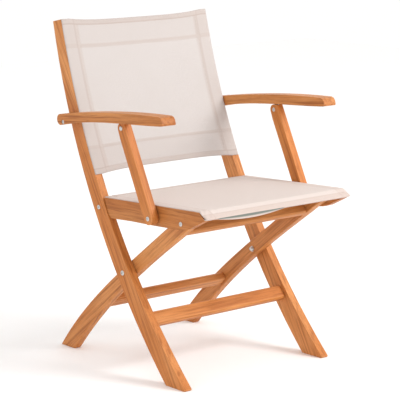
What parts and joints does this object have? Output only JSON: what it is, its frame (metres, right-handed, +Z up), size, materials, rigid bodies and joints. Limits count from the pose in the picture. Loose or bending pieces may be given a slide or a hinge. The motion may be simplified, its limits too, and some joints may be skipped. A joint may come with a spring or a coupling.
{
  "type": "folding deck chair",
  "caption": "Folding armchair with curved crossing wooden legs, a mesh sling seat and back, and arched armrests that fold flat with the frame.",
  "frame": {"origin": "on the floor, under the middle of the open chair's outline", "axes": "+Z up, the front of the seat faces -Y, +X to the sitter's left"},
  "size_m": [0.5748, 0.6442, 0.8866],
  "materials": {
    "teak": "oiled, satin, open grain",
    "sling": "matt woven mesh",
    "steel": "stainless, satin"
  },
  "bodies": {
    "back_frame": {"long_leg_left": "teak", "long_leg_right": "teak", "front_stretcher": "teak", "back_rail_top": "teak", "back_rail_bottom": "teak", "back_sling": "sling", "hinge_plates": "steel", "hinge_plate_bolts": "steel", "hinge_plate_screws": "steel", "seat_hinge_pins": "steel", "main_pivot_bolts": "steel", "main_pivot_washers": "steel", "main_pivot_nuts": "steel"},
    "rear_legs": {"rear_leg_left": "teak", "rear_leg_right": "teak", "rear_stretcher": "teak", "top_cross_rail": "teak", "slide_pins": "steel"},
    "seat_frame": {"seat_rail_left": "teak", "seat_rail_right": "teak", "seat_slat_rear": "teak", "seat_slat_front": "teak", "seat_sling": "sling", "slide_stop_bolts": "steel", "arm_support_inserts": "steel"},
    "arm_left": {"armrest_left": "teak", "arm_tongue_left": "steel", "arm_hinge_bolt_left": "steel", "arm_hinge_washer_left": "steel"},
    "support_left": {"arm_support_left": "teak", "support_top_bolt_left": "steel", "support_foot_bolt_left": "steel", "support_spacer_left": "steel"},
    "arm_right": {"armrest_right": "teak", "arm_tongue_right": "steel", "arm_hinge_bolt_right": "steel", "arm_hinge_washer_right": "steel"},
    "support_right": {"arm_support_right": "teak", "support_top_bolt_right": "steel", "support_foot_bolt_right": "steel", "support_spacer_right": "steel"}
  },
  "joints": [
    {"name": "fold", "type": "hinge", "parent": "back_frame", "child": "rear_legs", "pos_m": [0, 0.0084, 0.2578], "axis": [-1, 0, 0], "range_deg": [0, 70]},
    {"name": "seat_fold", "type": "hinge", "parent": "back_frame", "child": "seat_frame", "pos_m": [0, 0.0785, 0.437], "axis": [-1, 0, 0], "range_deg": [0, 108.31]},
    {"name": "arm_fold_left", "type": "hinge", "parent": "back_frame", "child": "arm_left", "pos_m": [0, 0.1986, 0.6291], "axis": [-1, 0, 0], "range_deg": [0, 100.01]},
    {"name": "support_fold_left", "type": "hinge", "parent": "arm_left", "child": "support_left", "pos_m": [0, -0.0214, 0.6354], "axis": [1, 0, 0], "range_deg": [0, 97.41]},
    {"name": "arm_fold_right", "type": "hinge", "parent": "back_frame", "child": "arm_right", "pos_m": [0, 0.1986, 0.6291], "axis": [-1, 0, 0], "range_deg": [0, 100.01]},
    {"name": "support_fold_right", "type": "hinge", "parent": "arm_right", "child": "support_right", "pos_m": [0, -0.0214, 0.6354], "axis": [1, 0, 0], "range_deg": [0, 97.41]}
  ],
  "couplings": [
    {"joint": "seat_fold", "follows": "fold", "ratio": 1.5471},
    {"joint": "arm_fold_left", "follows": "fold", "ratio": 1.4286},
    {"joint": "support_fold_left", "follows": "fold", "ratio": 1.3914},
    {"joint": "arm_fold_right", "follows": "fold", "ratio": 1.4286},
    {"joint": "support_fold_right", "follows": "fold", "ratio": 1.3914}
  ]
}
